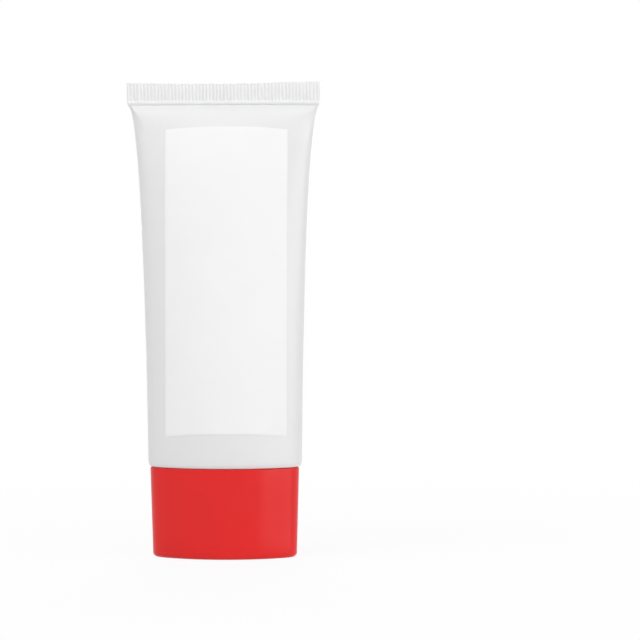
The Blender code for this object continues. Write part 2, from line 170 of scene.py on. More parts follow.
class SleeveSettings(bpy.types.PropertyGroup):
    color: paint("Color", (0.815, 0.815, 0.82), "Color of the sleeve's plastic")
    # Painted light: the seal is painted paler by this share, standing in for the light that falls on it
    seal_painted_light: fraction("Seal paleness", 0.06, "Share by which the welded seal is paler", 0.0, 0.2)
    roughness: fraction("Roughness", 0.34, "How satin the sleeve is")
    foot_width: length("Foot width", 0.0437, "Width of the oval at the sleeve's foot")
    end_share: fraction(
        "End rounding", 0.55, "Radius of the oval's ends as a share of its half depth", 0.1, 0.95,
    )
    seal_end_share: fraction(
        "End rounding at the seal", 0.92, "The same share where the sleeve is flat", 0.1, 0.95,
    )
    wall: length("Wall", 0.0005, "Thickness of the sleeve's wall")
    foot_round: length("Foot rounding", 0.0018, "How far up the sleeve's foot is rounded")
    foot_turn: length("Foot turn", 0.0009, "How far in the rounding of the foot goes")
    lip: length("Lip", 0.0008, "Width of the lip that turns in under the shoulder")
    seal_height: length("Seal height", 0.00687, "Height of the seal with its plain strip")
    strip_height: length("Strip height", 0.0015, "Height of the plain bead under the ribs")
    strip_step: length("Strip step", 0.00032, "How far the bead's foot lies inside the seal's ends")
    seal_thickness: length("Seal thickness", 0.0007, "Thickness of the seal in the ribs' grooves")
    rib_count: IntProperty(name="Ribs", description="Number of ribs along the seal", default=56, min=1)
    rib_depth: length("Rib depth", 0.00035, "How far each rib stands out")
    rib_change: fraction("Rib change", 0.3, "How unevenly the ribs are pressed")
    seal_bow: length("Seal bow", 0.00047, "How far the middle of the seal's top sags")
    crease_bow: length("Crease bow", -0.00012, "How far the middle of the seal's foot sags")
    crease_tilt: length("Crease tilt", -0.00017, "How far the seal's lower edge sits lower at the left")
    seal_tilt: length("Seal tilt", 0.0002, "How far the seal's left end lies below its right end")
    fold_width: length("Fold width", 0.0008, "Width of the sharp folds at the corners under the seal")
    fold_length: length("Fold length", 0.0090, "How far the folds run down from the seal")
    left_facet: fraction(
        "Left facet", 0.64, "Width of the left facet for its distance below the seal", 0.1, 2.0,
    )
    right_facet: fraction(
        "Right facet", 0.95, "Width of the right facet for its distance below the seal", 0.1, 2.0,
    )
    lean: length("Lean", 0.00013, "How far the sleeve stands to the right of the seal's middle")
    waviness: length("Waviness", 0.00012, "Depth of the soft dents in the sleeve")


class LabelSettings(bpy.types.PropertyGroup):
    color: paint("Color", (0.925, 0.925, 0.925), "Color of the label")
    roughness: fraction("Roughness", 0.5, "How matt the label is")
    width: length("Width", 0.03508, "Width of the label halfway up, along the surface")
    spread: fraction(
        "Spread", 0.03, "Share of its width by which the label is wider at its foot than at its top",
        -1.0,
    )
    shift: length("Shift", 0.0010, "How far the label sits to the right of the middle")
    low: length("Lower edge", 0.00880, "Height of the label's lower corners over the foot")
    high: length("Upper edge", 0.09501, "Height of the label's upper corners over the foot")
    arch: length("Arch", 0.00088, "How far the label's edges arch up in the middle")
    thickness: length("Thickness", 0.00009, "Thickness of the label")


class HeadSettings(bpy.types.PropertyGroup):
    color: paint("Color", (0.82, 0.82, 0.82), "Color of the molded head")
    shoulder: length("Shoulder", 0.0015, "Thickness of the shoulder")
    skirt_wall: length("Skirt wall", 0.0010, "Thickness of the skirt inside the sleeve")
    neck_radius: length("Neck radius", 0.0055, "Radius of the neck under its thread")
    collar: length("Collar", 0.0006, "How far the collar stands out from the neck")
    bore_radius: length("Bore radius", 0.0038, "Radius of the bore in the neck")
    orifice_radius: length("Orifice radius", 0.0022, "Radius of the opening in the tip")
    tip_wall: length("Tip wall", 0.0012, "Thickness of the neck's tip")
    thread_height: length("Thread height", 0.0007, "How far the thread stands out")
    thread_pitch: length("Thread pitch", 0.0030, "Rise of the thread in one turn")


class CapSettings(bpy.types.PropertyGroup):
    color: paint("Color", (0.79, 0.0195, 0.0188), "Color of the cap")
    inner_color: paint("Inner color", (0.70, 0.012, 0.012), "Color of the inner cap")
    roughness: fraction("Roughness", 0.24, "How glossy the cap is")
    step: length("Step", 0.00069, "How far the rim lies inside the sleeve's outline")
    draft: length("Draft", 0.0007, "How far the base lies inside the rim's outline")
    base_round: length("Base rounding", 0.00125, "Radius around the base")
    rim_gap: length("Rim gap", 0.0001, "Gap between the rim and the sleeve above it")
    rim_round: length("Rim rounding", 0.0003, "Radius around the rim")
    wall: length("Wall", 0.0012, "Thickness of the outer cap")
    floor: length("Floor", 0.0014, "Thickness of the cap's base")
    support_reach: length("Support rib reach", 0.0026, "How far each rib stands in from the end wall")
    support_spacing: length("Support rib spacing", 0.0050, "Distance between the two ribs of an end")
    support_thickness: length("Support rib thickness", 0.0010, "Thickness of each rib")
    support_root: length("Support rib root", 0.0004, "How deep each rib is rooted in the floor")
    flange: length("Flange", 0.0012, "Thickness of the inner cap's flange")
    socket_radius: length("Socket radius", 0.0065, "Radius of the socket outside its thread")
    socket_wall: length("Socket wall", 0.0009, "Thickness of the socket's wall")
    mouth_flare: length("Mouth flare", 0.0004, "How far the socket's mouth widens")


class StageSettings(bpy.types.PropertyGroup):
    floor_color: paint("Floor color", (0.92, 0.92, 0.92), "Color of the floor")
    world_level: fraction("World level", 0.30, "Light that comes from all around")
    lamp_level: fraction("Lamp level", 1.0, "Brightness of all lamps together", 0.0, 10.0)
    lens: FloatProperty(
        name="Lens", description="Focal length of the camera in millimeters", default=139.55,
    )


class TubeSettings(bpy.types.PropertyGroup):
    sleeve: PointerProperty(type=SleeveSettings, name="Sleeve", description="The sleeve")
    label: PointerProperty(type=LabelSettings, name="Label", description="The label")
    head: PointerProperty(type=HeadSettings, name="Head", description="The molded head")
    cap: PointerProperty(type=CapSettings, name="Cap", description="Both parts of the cap")
    stage: PointerProperty(type=StageSettings, name="Stage", description="Floor and lamps")


# Ovals: a section is (half width, half depth, radius of the ends)

def inset(section, distance):
    return tuple(size - distance for size in section)


def side_arc(section):
    """Radius of the wide arc along an oval's side, and the angle it spans to the middle."""
    half_width, half_depth, end_radius = section
    reach = half_width - end_radius
    radius = (reach ** 2 + half_depth ** 2 - end_radius ** 2) / (2 * (half_depth - end_radius))
    return radius, math.atan2(reach, radius - half_depth)


def girth(section):
    radius, angle = side_arc(section)
    return 4 * (radius * angle + section[2] * (math.pi / 2 - angle))


def oval_point(section, share):
    """Point of an oval's front, at a share of the way from its left end to its right end."""
    half_width, half_depth, end_radius = section
    radius, angle = side_arc(section)
    end_arc = end_radius * (math.pi / 2 - angle)
    quarter = end_arc + radius * angle
    way = 2 * quarter * min(share, 1 - share)
    if way < end_arc:
        turn = way / end_radius
        x = half_width - end_radius + end_radius * math.cos(turn)
        y = end_radius * math.sin(turn)
    else:
        turn = (quarter - way) / radius
        x = radius * math.sin(turn)
        y = half_depth - radius + radius * math.cos(turn)
    return (x if share > 0.5 else -x), -y


def front_point(section, share):
    """Mean of a sharper, a middle and a rounder oval, whose sides turn softly into the ends."""
    half_width, half_depth, end_radius = section
    spread = OVAL_SOFTNESS * min(end_radius, half_depth - end_radius)
    points = [
        oval_point((half_width, half_depth, end_radius + change), share)
        for change in (-spread, 0.0, spread)
    ]
    return tuple(sum(values) / len(points) for values in zip(*points))


def foot_section(sleeve):
    return (sleeve.foot_width / 2, OVAL_DEPTH / 2, sleeve.end_share * OVAL_DEPTH / 2)


def seal_foot(sleeve):
    """Height of the seal's lower edge over the sleeve's foot."""
    return SLEEVE_LENGTH - sleeve.seal_height


def sleeve_section(sleeve, height, distance=0.0):
    """Outline of the sleeve at a height over its foot, moved inward by distance.

    The width follows the sleeve's sides, and the depth is what the girth leaves over.
    """
    thin = sleeve.seal_thickness / 2
    flat_width = SEAL_WIDTH - FLAT_INSET
    along = min(height / seal_foot(sleeve), 1.0)
    corner_share = 1 - STEADY_SHARE - CURVED_SHARE - FLARE_SHARE
    corner_share -= 2 * sleeve.strip_step / (flat_width - sleeve.foot_width)
    spread = (
        STEADY_SHARE * along + CURVED_SHARE * along ** 2 + FLARE_SHARE * along ** FLARE_POWER
        + corner_share * along ** CORNER_POWER
    )
    half_width = (sleeve.foot_width + (flat_width - sleeve.foot_width) * spread) / 2
    end_growth = (sleeve.seal_end_share - sleeve.end_share) * along ** END_POWER
    end_share = sleeve.end_share + end_growth
    foot_girth = girth(foot_section(sleeve))
    wanted = foot_girth + (2 * flat_width - foot_girth) * along ** 2
    thick = half_width
    while thick - thin > DEPTH_ERROR:
        middle = (thin + thick) / 2
        if girth((half_width, middle, end_share * middle)) < wanted:
            thin = middle
        else:
            thick = middle
    return inset((half_width, thin, end_share * thin), distance)


def cap_section(size, height, distance=0.0):
    """Outline of the outer cap at a height over its base, moved inward by distance."""
    taper = size.cap.draft * (1 - height / CAP_HEIGHT)
    return inset(foot_section(size.sleeve), size.cap.step + taper + distance)


def softly(value):
    """Smooth step from 0 to 1."""
    value = max(0.0, min(1.0, value))
    return value * value * (3 - 2 * value)


# Rings: each starts at the left end and runs along the front, then along the back

def mirrored(front, height):
    """Ring from the points of its front, given as (x, y) from the left to the right end."""
    ring = [(x, y, height) for x, y in front]
    return ring + [(x, -y, height) for x, y in reversed(front[1:-1])]


def oval_ring(section, height, stations=EVEN_STATIONS):
    return mirrored([front_point(section, share) for share in stations], height)


def round_ring(radius, height):
    return [(radius * math.cos(turn), radius * math.sin(turn), height) for turn in RING_TURNS]


def round_rings(*spots):
    return [round_ring(*spot) for spot in spots]


def foot_ring(sleeve, distance, height, stations=EVEN_STATIONS):
    return oval_ring(inset(foot_section(sleeve), distance), height, stations)


def sleeve_ring(sleeve, distance, height, stations=EVEN_STATIONS):
    return oval_ring(sleeve_section(sleeve, height, distance), height, stations)


def arc(start, end, steps=ROUND_STEPS, upright=False):
    """Quarter round between two (distance, height) spots, which sets off level or upright."""
    spots = []
    for step in range(steps + 1):
        angle = math.pi / 2 * step / steps
        shares = (math.sin(angle), 1 - math.cos(angle))
        along, across = reversed(shares) if upright else shares
        distance = start[0] + (end[0] - start[0]) * along
        spots.append((distance, start[1] + (end[1] - start[1]) * across))
    return spots


def round_arc(start, end, steps, upright=False):
    """Round rings along an arc, whose distances are radii."""
    return round_rings(*arc(start, end, steps, upright))


def fill_across(shape, ring):
    """Close a ring with faces that run from its front to its back."""
    count = len(ring)
    for i in range(count // 2):
        corners = [ring[i], ring[i + 1], ring[count - i - 1], ring[-i]]
        shape.faces.new(list(dict.fromkeys(corners)))


def join_rows(shape, low, high):
    for i in range(len(low)):
        j = (i + 1) % len(low)
        shape.faces.new((low[i], low[j], high[j], high[i]))


def skin(name, rings, looped=False):
    """Join rings into one closed skin. The ends are filled, or joined to each other."""
    shape = bmesh.new()
    rows = [[shape.verts.new(point) for point in ring] for ring in rings]
    for low, high in zip(rows, rows[1:]):
        join_rows(shape, low, high)
    if looped:
        join_rows(shape, rows[-1], rows[0])
    else:
        fill_across(shape, [rows[0][0]] + rows[0][:0:-1])
        fill_across(shape, rows[-1])
    return piece_from(name, shape)


def add_object(name, data):
    item = bpy.data.objects.new(name, data)
    bpy.context.scene.collection.objects.link(item)
    return item


def piece_from(name, shape):
    mesh = bpy.data.meshes.new(name)
    shape.to_mesh(mesh)
    shape.free()
    return add_object(name, mesh)


def unite(piece, others):
    """Weld other closed skins into a piece, in millimeters, where the weld is exact."""
    for item in [piece] + others:
        item.data.transform(Matrix.Scale(1000, 4))
    for other in others:
        modifier = piece.modifiers.new("weld", "BOOLEAN")
        modifier.operation = "UNION"
        modifier.solver = "EXACT"
        modifier.object = other
    depsgraph = bpy.context.evaluated_depsgraph_get()
    made = bpy.data.meshes.new_from_object(piece.evaluated_get(depsgraph))
    piece.modifiers.clear()
    made.transform(Matrix.Scale(0.001, 4))
    piece.data = made
    for other in others:
        bpy.data.objects.remove(other, do_unlink=True)


def threaded_rings(wall, height, ends, run, pitch, turn):
    """Rings of a round wall that carries a right-handed thread.

    The rings go from the first of the ends to the second. The thread rises over its run
    and starts at the angle turn. It stands outward, or inward where its height is negative,
    and it sinks to nothing over its first and last eighth of a turn.
    """
    first, last = ends
    low, high = run
    root = THREAD_ROOT * pitch
    crest = THREAD_CREST * pitch
    turns = (high - low) / pitch
    count = round(abs(last - first) / THREAD_STEP)
    rings = []
    for level in range(count + 1):
        z = first + (last - first) * level / count
        ring = []
        for angle in RING_TURNS:
            along = (angle - turn) / (2 * math.pi) % 1.0
            stands = 0.0
            while along <= turns:
                off = abs(z - low - pitch * along)
                grown = softly(8 * min(along, turns - along))
                stands = max(stands, grown * softly((root - off) / (root - crest)))
                along += 1
            radius = wall + height * stands
            ring.append((radius * math.cos(angle), radius * math.sin(angle), z))
        rings.append(ring)
    return rings


def block(name, *spans):
    """A box with rounded edges over its spans along x, y and z."""
    shape = bmesh.new()
    bmesh.ops.create_cube(shape, size=1.0)
    bmesh.ops.scale(shape, verts=shape.verts, vec=[abs(b - a) for a, b in spans])
    bmesh.ops.translate(shape, verts=shape.verts, vec=[(a + b) / 2 for a, b in spans])
    bmesh.ops.bevel(
        shape, geom=shape.edges, offset=BLOCK_ROUND, segments=3, profile=0.5, affect="EDGES",
    )
    return piece_from(name, shape)


# Plastics

# Sizes of the clouds in the color, of the rubbed patches and of the drawn lines
CLOUD_SIZE = 0.012
RUB_SIZE = 0.005
RUB_SPAN = (0.9, 1.1)  # shares between which the roughness changes
LINE_SIZE = 0.0012
LINE_STRETCH = (1.0, 1.0, 60.0)
NOISE_SPAN = (0.3, 0.7)  # the middle range of a noise
# Height over which the seal's painted light fades in
PAINTED_LIGHT_FADE = 0.0005  # height over which the seal turns paler

# Each plastic's shine, share of mottle, size and depth of the grain, depth of drawn lines
PLASTICS = {
    "sleeve_polyethylene": (0.5, 0.008, 0.0007, 0.000006, 0.000012),
    "label_film": (0.3, 0.006, 0.0004, 0.000003, 0.0),
    "head_polyethylene": (0.5, 0.01, 0.0009, 0.000008, 0.0),
    "lotion_cream": (0.5, 0.02, 0.002, 0.00002, 0.0),
    "cap_polypropylene": (0.22, 0.02, 0.0011, 0.000008, 0.0),
    "inner_polypropylene": (0.28, 0.02, 0.0011, 0.000008, 0.0),
    "wad_foam": (0.3, 0.03, 0.00025, 0.00002, 0.0),
}


def feed(tree, node, inputs):
    """Set a node's inputs to values, or link sockets to them."""
    for name, value in inputs.items():
        if isinstance(value, bpy.types.NodeSocket):
            tree.links.new(value, node.inputs[name])
        else:
            node.inputs[name].default_value = value


def add_node(tree, kind, inputs=None, **settings):
    node = tree.nodes.new(kind)
    for name, value in settings.items():
        setattr(node, name, value)
    feed(tree, node, inputs or {})
    return node


def ramp(tree, source, span, values, **settings):
    """Map a span of a source to a pair of values."""
    inputs = {
        "Value": source, "From Min": span[0], "From Max": span[1],
        "To Min": values[0], "To Max": values[1],
    }
    return add_node(tree, "ShaderNodeMapRange", inputs, **settings).outputs["Result"]


def noise_field(tree, place, size, detail, stretch=(1.0, 1.0, 1.0)):
    """Noise with features of a size in meters, drawn out along an axis by stretch."""
    scale = [1 / (size * drawn) for drawn in stretch]
    spot = add_node(tree, "ShaderNodeMapping", {"Vector": place, "Scale": scale})
    inputs = {"Vector": spot.outputs["Vector"], "Scale": 1.0, "Detail": detail, "Roughness": 0.55}
    return add_node(tree, "ShaderNodeTexNoise", inputs).outputs["Fac"]


def molded_plastic(name, color, roughness):
    """Plastic with a faint mottle in color and gloss, a fine grain and, if drawn, lines."""
    shine, mottle, grain_size, grain_depth, lines = PLASTICS[name]
    material = bpy.data.materials.new(name)
    material.use_nodes = True
    tree = material.node_tree
    place = add_node(tree, "ShaderNodeTexCoord").outputs["Object"]
    cloud = noise_field(tree, place, CLOUD_SIZE, 3.0)
    tint = add_node(tree, "ShaderNodeMix", {
        "A": (*[c * (1 - mottle) for c in color], 1.0),
        "B": (*[min(1.0, c * (1 + mottle)) for c in color], 1.0),
        "Factor": ramp(tree, cloud, NOISE_SPAN, (0.0, 1.0)),
    }, data_type="RGBA")
    rub = noise_field(tree, place, RUB_SIZE, 4.0)
    gloss = [roughness * share for share in RUB_SPAN]
    grain = noise_field(tree, place, grain_size, 2.0)
    relief = {"Height": grain, "Strength": 1.0, "Distance": grain_depth}
    if lines:
        drawn = noise_field(tree, place, LINE_SIZE, 2.0, LINE_STRETCH)
        line_relief = {"Height": drawn, "Strength": 1.0, "Distance": lines}
        relief["Normal"] = add_node(tree, "ShaderNodeBump", line_relief).outputs["Normal"]
    feed(tree, tree.nodes["Principled BSDF"], {
        "Base Color": tint.outputs["Result"],
        "Roughness": ramp(tree, rub, NOISE_SPAN, gloss),
        "Specular IOR Level": shine,
        "Normal": add_node(tree, "ShaderNodeBump", relief).outputs["Normal"],
    })
    material.diffuse_color = (*color, 1.0)
    return material


def paint_light_above(material, height, paleness):
    """Make a plastic paler by a share above a height. This is painted light, which stands in for the
    light that falls on the seal.
    """
    tree = material.node_tree
    color = tree.nodes["Principled BSDF"].inputs["Base Color"]
    place = add_node(tree, "ShaderNodeTexCoord").outputs["Object"]
    split = add_node(tree, "ShaderNodeSeparateXYZ", {"Vector": place})
    span = (height - PAINTED_LIGHT_FADE / 2, height + PAINTED_LIGHT_FADE / 2)
    inputs = {
        "Vector": color.links[0].from_socket,
        "Scale": ramp(tree, split.outputs["Z"], span, (1.0, 1.0 + paleness)),
    }
    # Painted light: the base colour is scaled paler above the height
    paler = add_node(tree, "ShaderNodeVectorMath", inputs, operation="SCALE")
    tree.links.new(paler.outputs["Vector"], color)


def finish(piece, body, node, plastic, color, roughness, sharp=40.0):
    """Shade a piece, give it its plastic and let it stand for its CAD node."""
    material = molded_plastic(plastic, color, roughness)
    piece.data.materials.clear()
    piece.data.materials.append(material)
    piece.data.shade_smooth()
    piece.data.set_sharp_from_angle(angle=math.radians(sharp))
    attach(piece, body)
    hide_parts(node)
    return material


# Sleeve

def dent(sleeve, x, y, height):
    """Depth of the soft dents that a filled tube has, fading out at foot and seal."""
    top = seal_foot(sleeve)
    fade = softly(height / DENT_FADE) * softly((top - height) / DENT_FADE)
    spot = Vector((x / DENT_WIDTH, math.copysign(3.0, y), height / DENT_HEIGHT))
    return sleeve.waviness * noise.noise(spot) * fade


def seal_shift(sleeve, x, height):
    """How far the bowed and tilted seal moves a point up or down."""
    across = 2 * x / SEAL_WIDTH
    over_foot = height - seal_foot(sleeve)
    up_seal = max(0.0, over_foot / sleeve.seal_height)
    bow = sleeve.crease_bow + (sleeve.seal_bow - sleeve.crease_bow) * up_seal
    tilt = sleeve.crease_tilt + (sleeve.seal_tilt - sleeve.crease_tilt) * up_seal
    drop = bow * (1 - across ** 2) + tilt * (1 - across) / 2
    return -drop * softly(over_foot / SHIFT_REACH + 1)


def sleeve_stations(sleeve):
    """Shares of the way along the front at which every ring of the sleeve has a point.

    Each rib of the seal has its own few points, and so has each end of the seal.
    """
    half = sleeve.seal_thickness / 2
    corner = 0.25 * half
    way = SEAL_WIDTH + 2 * half
    places = [0.0, half - corner, half + corner]
    for rib in range(sleeve.rib_count):
        for along, _ in RIB_STATIONS:
            place = half + SEAL_WIDTH * (rib + along) / sleeve.rib_count
            if half + 2 * corner < place < way - half - 2 * corner:
                places.append(place)
    places += [way - half - corner, way - half + corner, way]
    return [place / way for place in places]


def rib_height(sleeve, x):
    """How high the rib pattern stands at the place x, in shares of an even rib's height."""
    phase = (x / SEAL_WIDTH + 0.5) * sleeve.rib_count
    rib = math.floor(phase + 1e-6)
    phase -= rib
    pressed = 1 + sleeve.rib_change * noise.noise(Vector((0.9 * rib, 0.5, 0.5)))
    points = RIB_STATIONS + ((1.0, 0.0),)
    for (start, low), (end, high) in zip(points, points[1:]):
        if phase <= end:
            break
    return pressed * (low + (high - low) * (phase - start) / (end - start))


def seal_ring(sleeve, height, thickness, ribs, step, stations):
    """Ring of the flat seal, with its thickness, ribs and step as shares of the whole."""
    half = sleeve.seal_thickness / 2
    narrowed = 1 - 2 * step * sleeve.strip_step / SEAL_WIDTH
    way = SEAL_WIDTH + 2 * half
    front = []
    for share in stations:
        place = share * way
        from_end = min(place, way - place)
        if from_end < half:
            x = SEAL_WIDTH / 2
            y = from_end * thickness
        else:
            x = SEAL_WIDTH / 2 + half - from_end
            y = half * thickness
            y += ribs * sleeve.rib_depth * rib_height(sleeve, math.copysign(x, share - 0.5))
        front.append((narrowed * math.copysign(x, share - 0.5), -y))
    return mirrored(front, height)


def folded(sleeve, ring, section):
    """Give a ring below the seal its corner facets and the narrow folds at its two ends."""
    below = seal_foot(sleeve) - ring[0][2]
    press = softly(1 - below / sleeve.fold_length)
    cut = FACET_CUT * softly(FACET_START - FACET_FALL * below / sleeve.fold_length)
    thin = FOLD_THICKNESS * sleeve.seal_thickness
    soft = FACET_SOFT * section[1]
    points = []
    for x, y, height in ring:
        inward = section[0] - abs(x)
        depth = abs(y)
        width = (sleeve.left_facet if x < 0 else sleeve.right_facet) * below
        facet = section[1] * inward / width
        low = (depth + facet - math.hypot(depth - facet, soft)) / 2
        depth += cut * (max(low, 0.0) - depth)
        kept = 1 - press * (1 - softly(2 * inward / sleeve.fold_width - FOLD_START))
        flat = min(depth, thin)
        points.append((x, math.copysign(flat + kept * (depth - flat), y), height))
    return points


def sleeve_outer_rings(sleeve):
    stations = sleeve_stations(sleeve)
    spots = arc((sleeve.foot_turn, 0.0), (0.0, sleeve.foot_round))
    rings = [foot_ring(sleeve, *spot, stations) for spot in spots]
    top = seal_foot(sleeve)
    for level in range(1, SLEEVE_LEVELS):
        up = 1 - (1 - level / SLEEVE_LEVELS) ** 2
        height = sleeve.foot_round + (top - sleeve.foot_round) * up
        section = sleeve_section(sleeve, height)
        rings.append(folded(sleeve, oval_ring(section, height, stations), section))
    strip = sleeve.strip_height
    parts = (
        (top, strip, STRIP_PROFILE), (top + strip, sleeve.seal_height - strip, RIB_PROFILE),
    )
    for start, size, profile in parts:
        for up, *shares in profile:
            rings.append(seal_ring(sleeve, start + size * up, *shares, stations))
    return [[bent_point(sleeve, point) for point in ring] for ring in rings]


def bent_point(sleeve, point):
    x, y, height = point
    reach = math.copysign(min(1.0, abs(y) / DENT_EDGE), y)
    y += reach * dent(sleeve, x, y, height)
    below = seal_foot(sleeve) - height
    lean = sleeve.lean * softly(below / LEAN_REACH)
    return (x + lean, y, height + seal_shift(sleeve, x, height))


def sleeve_inner_rings(sleeve):
    """Rings of the inside, from the seal down to the lip under the shoulder."""
    stations = sleeve_stations(sleeve)
    top = seal_foot(sleeve) - sleeve.fold_length
    lip_top = sleeve.wall + sleeve.lip
    rings = []
    levels = SLEEVE_LEVELS // 2
    for level in range(levels + 1):
        height = top + (lip_top - top) * (level / levels) ** 2
        rings.append(sleeve_ring(sleeve, sleeve.wall, height, stations))
    opening = sleeve.wall + sleeve.lip
    return rings + [foot_ring(sleeve, opening, height, stations) for height in (LIP_HEIGHT, 0.0)]


def raised(rings, by):
    return [[(x, y, z + by) for x, y, z in ring] for ring in rings]


class TUBE_OT_build_sleeve(bpy.types.Operator):
    """Build the sleeve, with its rounded foot and ribbed seal, as one closed skin"""
    bl_idname = "squeeze_tube.build_sleeve"
    bl_label = "Build Sleeve"

    def execute(self, context):
        sleeve = context.scene.squeeze_tube.sleeve
        rings = sleeve_inner_rings(sleeve) + sleeve_outer_rings(sleeve)
        piece = skin("sleeve_skin", raised(rings, FOOT_Z))
        plastic = finish(
            piece, "tube", "tube_sleeve", "sleeve_polyethylene", sleeve.color,
            sleeve.roughness, sharp=60.0,
        )
        # Painted light: the seal above its foot is painted paler, standing in for the light that falls
        # on it
        paint_light_above(plastic, FOOT_Z + seal_foot(sleeve), sleeve.seal_painted_light)
        return {"FINISHED"}


# Label

class TUBE_OT_build_label(bpy.types.Operator):
    """Lay the bare label on the sleeve's front"""
    bl_idname = "squeeze_tube.build_label"
    bl_label = "Build Label"

    def execute(self, context):
        size = context.scene.squeeze_tube
        sleeve = size.sleeve
        label = size.label
        columns = 48
        rows = 120
        edge = 0.00006  # width of the beveled edge
        bevel_start = 0.6  # as a share of the thickness
        glue = 0.00002  # between the sleeve and the label's underside

        def place(across, up, lift):
            height = label.low + (label.high - label.low) * up + label.arch * (1 - across ** 2)
            section = sleeve_section(sleeve, height)
            half = label.width * (1 + label.spread * (0.5 - up)) / 2
            way = label.shift + across * half
            x, y = front_point(section, 0.5 + 2 * way / girth(section))
            x, y, height = bent_point(sleeve, (x, y, height))
            return (x, y - lift, height + FOOT_Z)

        across_steps = [-1 + 2 * i / columns for i in range(columns + 1)]
        up_steps = [i / rows for i in range(rows + 1)]
        sill_x = edge / (label.width / 2)
        sill_z = edge / (label.high - label.low)
        shape = bmesh.new()

        def sheet_of(lift, shrink_x=0.0, shrink_z=0.0):
            return [[
                shape.verts.new(place(across * (1 - shrink_x), shrink_z + up * (1 - 2 * shrink_z), lift))
                for across in across_steps
            ] for up in up_steps]

        under = sheet_of(glue)
        middle = sheet_of(bevel_start * label.thickness)
        outer = sheet_of(label.thickness, sill_x, sill_z)
        for grid, flip in ((outer, False), (under, True)):
            for lower, upper in zip(grid, grid[1:]):
                for i in range(columns):
                    face = (lower[i], lower[i + 1], upper[i + 1], upper[i])
                    shape.faces.new(face[::-1] if flip else face)

        def border(grid):
            return (
                grid[0][:-1] + [row[-1] for row in grid[:-1]]
                + grid[-1][:0:-1] + [row[0] for row in grid[:0:-1]]
            )

        join_rows(shape, border(under), border(middle))
        join_rows(shape, border(middle), border(outer))
        kept = set(border(middle))
        loose = [vert for row in middle for vert in row if vert not in kept]
        bmesh.ops.delete(shape, geom=loose, context="VERTS")
        piece = piece_from("label_sheet", shape)
        finish(
            piece, "tube", "front_label", "label_film", label.color, label.roughness,
        )
        return {"FINISHED"}


# Head

class TUBE_OT_build_head(bpy.types.Operator):
    """Build the molded head: oval shoulder, skirt, bored neck and its thread"""
    bl_idname = "squeeze_tube.build_head"
    bl_label = "Build Head"

    def execute(self, context):
        size = context.scene.squeeze_tube
        sleeve = size.sleeve
        head = size.head
        skirt = sleeve.wall + FIT_GAP
        skirt_inner = skirt + head.skirt_wall
        slope_low = LIP_HEIGHT + FIT_GAP
        slope_high = slope_low + sleeve.lip
        top = head_high.z - FOOT_Z
        tip = head_low.z - FOOT_Z
        neck = head.neck_radius
        bore = head.bore_radius
        collar = neck + head.collar
        collar_foot = -2 * head.collar
        fillet = 0.4 * head.collar
        chamfer = TIP_CHAMFER
        soft = 0.0002
        tray_soft = 0.0003
        sill = 0.002  # of the flat ring round the shoulder's underside
        thread_run = (tip + NECK_LEADS[0], collar_foot - NECK_LEADS[1])
        under = skirt + sleeve.lip

        orifice = head.orifice_radius
        rings = [round_ring(orifice + chamfer / 2, tip)]
        rings += round_arc((neck - chamfer, tip), (neck, tip + chamfer), 4)
        rings += threaded_rings(
            neck, head.thread_height, (tip + chamfer, collar_foot), thread_run,
            head.thread_pitch, 0.0,
        )[1:]
        rings += round_rings(
            (collar - 0.1 * head.collar, -1.1 * head.collar), (collar, -head.collar),
        )
        rings += round_arc((collar, -fillet), (collar + fillet, 0.0), 4, upright=True)
        rings += [foot_ring(sleeve, under + distance, height) for distance, height in (
            (sill, 0.0), (soft, 0.0), (0.0, soft), (0.0, slope_low),
        )]
        rings += [sleeve_ring(sleeve, *spot) for spot in (
            (skirt, slope_high), (skirt, top - soft), (skirt + soft, top),
            (skirt_inner - soft, top), (skirt_inner, top - soft),
            (skirt_inner, slope_high + head.skirt_wall),
        )]
        under += head.skirt_wall
        rings.append(foot_ring(sleeve, under, head.shoulder + tray_soft))
        rings.append(foot_ring(sleeve, under + tray_soft, head.shoulder))
        rings += round_arc((bore + chamfer, head.shoulder), (bore, head.shoulder - chamfer), 3)
        rings += round_rings(
            (bore, tip + head.tip_wall), (orifice, tip + head.tip_wall),
            (orifice, tip + chamfer / 2),
        )
        piece = skin("molded_head", raised(rings, FOOT_Z), looped=True)
        finish(piece, "tube", "tube_head", "head_polyethylene", head.color, 0.38)
        return {"FINISHED"}


# Lotion

class TUBE_OT_build_lotion(bpy.types.Operator):
    """Fill the tube with lotion up to its level, with a curved surface on top"""
    bl_idname = "squeeze_tube.build_lotion"
    bl_label = "Build Lotion"

    def execute(self, context):
        size = context.scene.squeeze_tube
        sleeve = size.sleeve
        low = lotion_low.z - FOOT_Z
        level = lotion_high.z - FOOT_Z
        skirt_side = sleeve.wall + 2 * FIT_GAP + size.head.skirt_wall
        skirt_top = head_high.z - FOOT_Z + FIT_GAP
        side = sleeve.wall + FIT_GAP
        slope = 0.0011  # height of the slope round the lotion's foot
        sag = 0.0008  # of the surface, from its edge to its middle
        edge_width = 0.0015
        rings = [
            foot_ring(sleeve, skirt_side + sleeve.lip, low),
            foot_ring(sleeve, skirt_side, low + slope),
            sleeve_ring(sleeve, skirt_side, skirt_top),
        ]
        start = skirt_top + size.head.skirt_wall
        levels = SLEEVE_LEVELS // 2
        for step in range(levels):
            rings.append(sleeve_ring(sleeve, side, start + (level - start) * step / levels))
        for distance, height in arc((side, level), (side + edge_width, level - sag), 5, True):
            rings.append(oval_ring(sleeve_section(sleeve, level, distance), height))
        piece = skin("lotion", raised(rings, FOOT_Z))
        color = (0.88, 0.84, 0.76)
        finish(piece, "tube", "lotion_fill", "lotion_cream", color, 0.32)
        return {"FINISHED"}


# Cap

